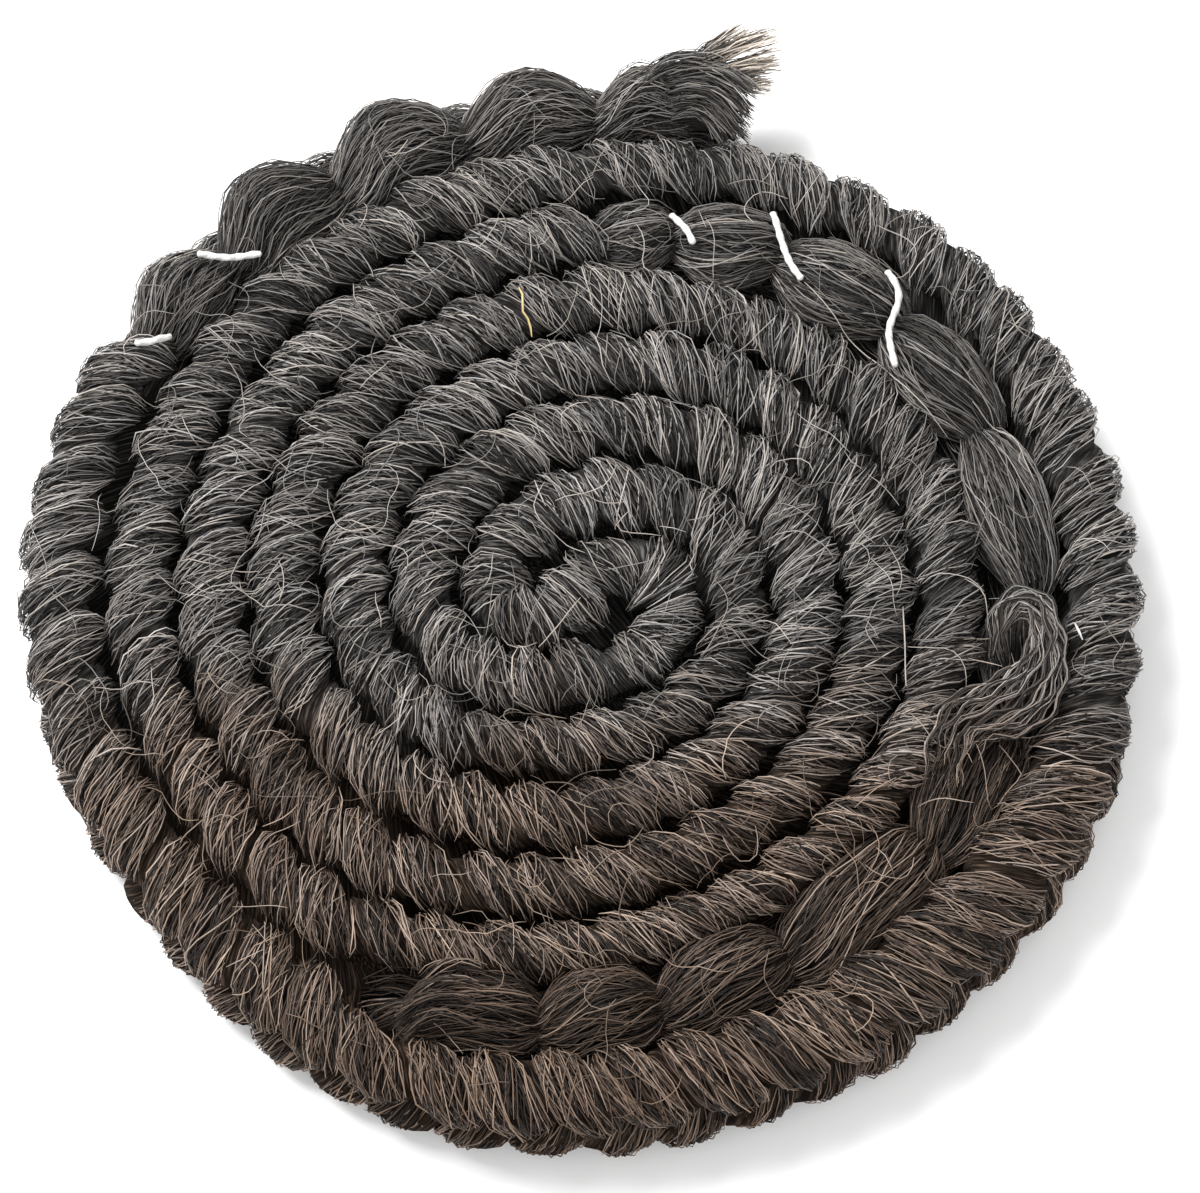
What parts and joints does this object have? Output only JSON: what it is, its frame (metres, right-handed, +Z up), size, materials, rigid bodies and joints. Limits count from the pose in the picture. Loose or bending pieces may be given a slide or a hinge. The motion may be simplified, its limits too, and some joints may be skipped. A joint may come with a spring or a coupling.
{
  "type": "crepe wool braid",
  "caption": "Crepe wool braid wound double into a flat disc, standing on edge, with slack end loops, bare string and a frayed end.",
  "frame": {"origin": "middle of the part's box, on the plane that the disc lies on", "axes": "+Z up through the disc, -Y towards the viewer of the picture, +X to the right"},
  "size_m": [0.0837, 0.0897, 0.0104],
  "materials": {
    "wool": "matt, fibrous, dark grey-brown with many pale hairs",
    "frayed_wool": "matt, loose, pale towards the tips",
    "cotton_string": "matt, twisted, white"
  },
  "bodies": {
    "root": {"braid": "wool", "bare_string_1": "cotton_string", "bare_string_2": "cotton_string", "bare_string_3": "cotton_string", "bare_string_4": "cotton_string", "bare_string_5": "cotton_string", "frayed_end": "frayed_wool"}
  },
  "joints": []
}
